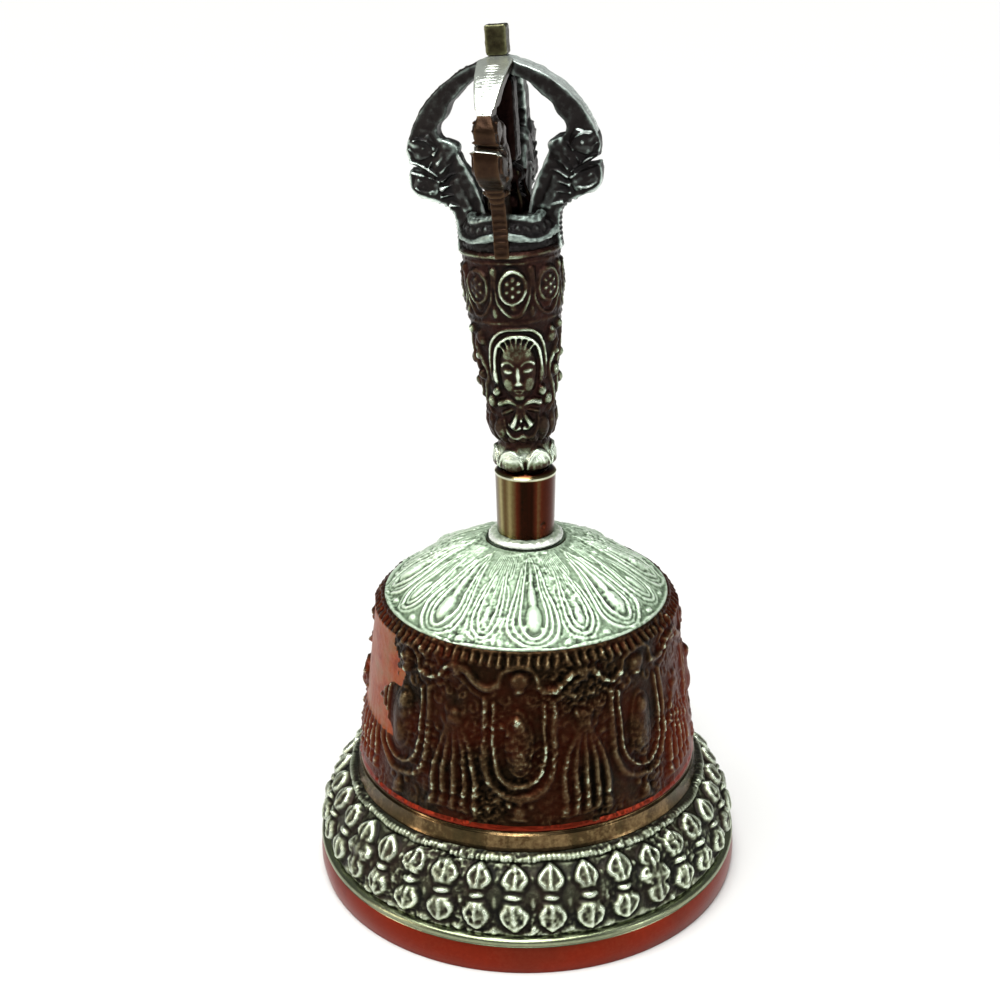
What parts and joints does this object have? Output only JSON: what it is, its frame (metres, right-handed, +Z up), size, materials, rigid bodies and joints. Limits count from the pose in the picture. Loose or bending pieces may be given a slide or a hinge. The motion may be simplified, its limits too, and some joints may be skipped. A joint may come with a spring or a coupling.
{
  "type": "tibetan bell",
  "caption": "Cast bronze Tibetan hand bell with relief petals and garlands, a turned brass ferrule, a face grip, a half-vajra head and a clapper that swings on a wire link.",
  "frame": {"origin": "centre of the mouth, in the plane of the lip that the bell stands on", "axes": "+Z up the bell; the face on the grip looks along -Y; +X to the viewer's right"},
  "size_m": [0.093, 0.093, 0.1793],
  "materials": {
    "bell_bronze": "cast, aged dark in the hollows and rubbed pale on the high relief",
    "collar_metal": "turned, satin",
    "ferrule_brass": "turned and polished",
    "fastener_steel": "dull plated",
    "forged_iron": "forged, dark scale",
    "clapper_brass": "cast, rubbed by striking",
    "grip_bronze": "cast, dark patina rubbed on the relief",
    "crown_bronze": "cast, near-black patina",
    "prong_brass": "filed and polished",
    "lac_resin": "poured lac resin"
  },
  "bodies": {
    "bell": {"bell_body": "bell_bronze", "crown_collar": "collar_metal", "ferrule": "ferrule_brass", "inner_washer": "fastener_steel", "lock_nut": "fastener_steel", "eye_bolt": "forged_iron", "grip": "grip_bronze", "grip_filler": "lac_resin", "lotus_hub": "crown_bronze", "prong_front": "prong_brass", "prong_right": "crown_bronze", "prong_back": "crown_bronze", "prong_left": "crown_bronze", "centre_prong": "crown_bronze"},
    "link": {"swing_link": "forged_iron"},
    "clapper": {"clapper_rod": "forged_iron", "clapper_head": "clapper_brass"}
  },
  "joints": [
    {"name": "link_swing", "type": "hinge", "parent": "bell", "child": "link", "pos_m": [0, 0, 0.0582], "axis": [1, 0, 0], "range_deg": [-10, 10]},
    {"name": "clapper_swing", "type": "hinge", "parent": "link", "child": "clapper", "pos_m": [0, 0, 0.05275], "axis": [0, 1, 0], "range_deg": [-38, 38]}
  ]
}
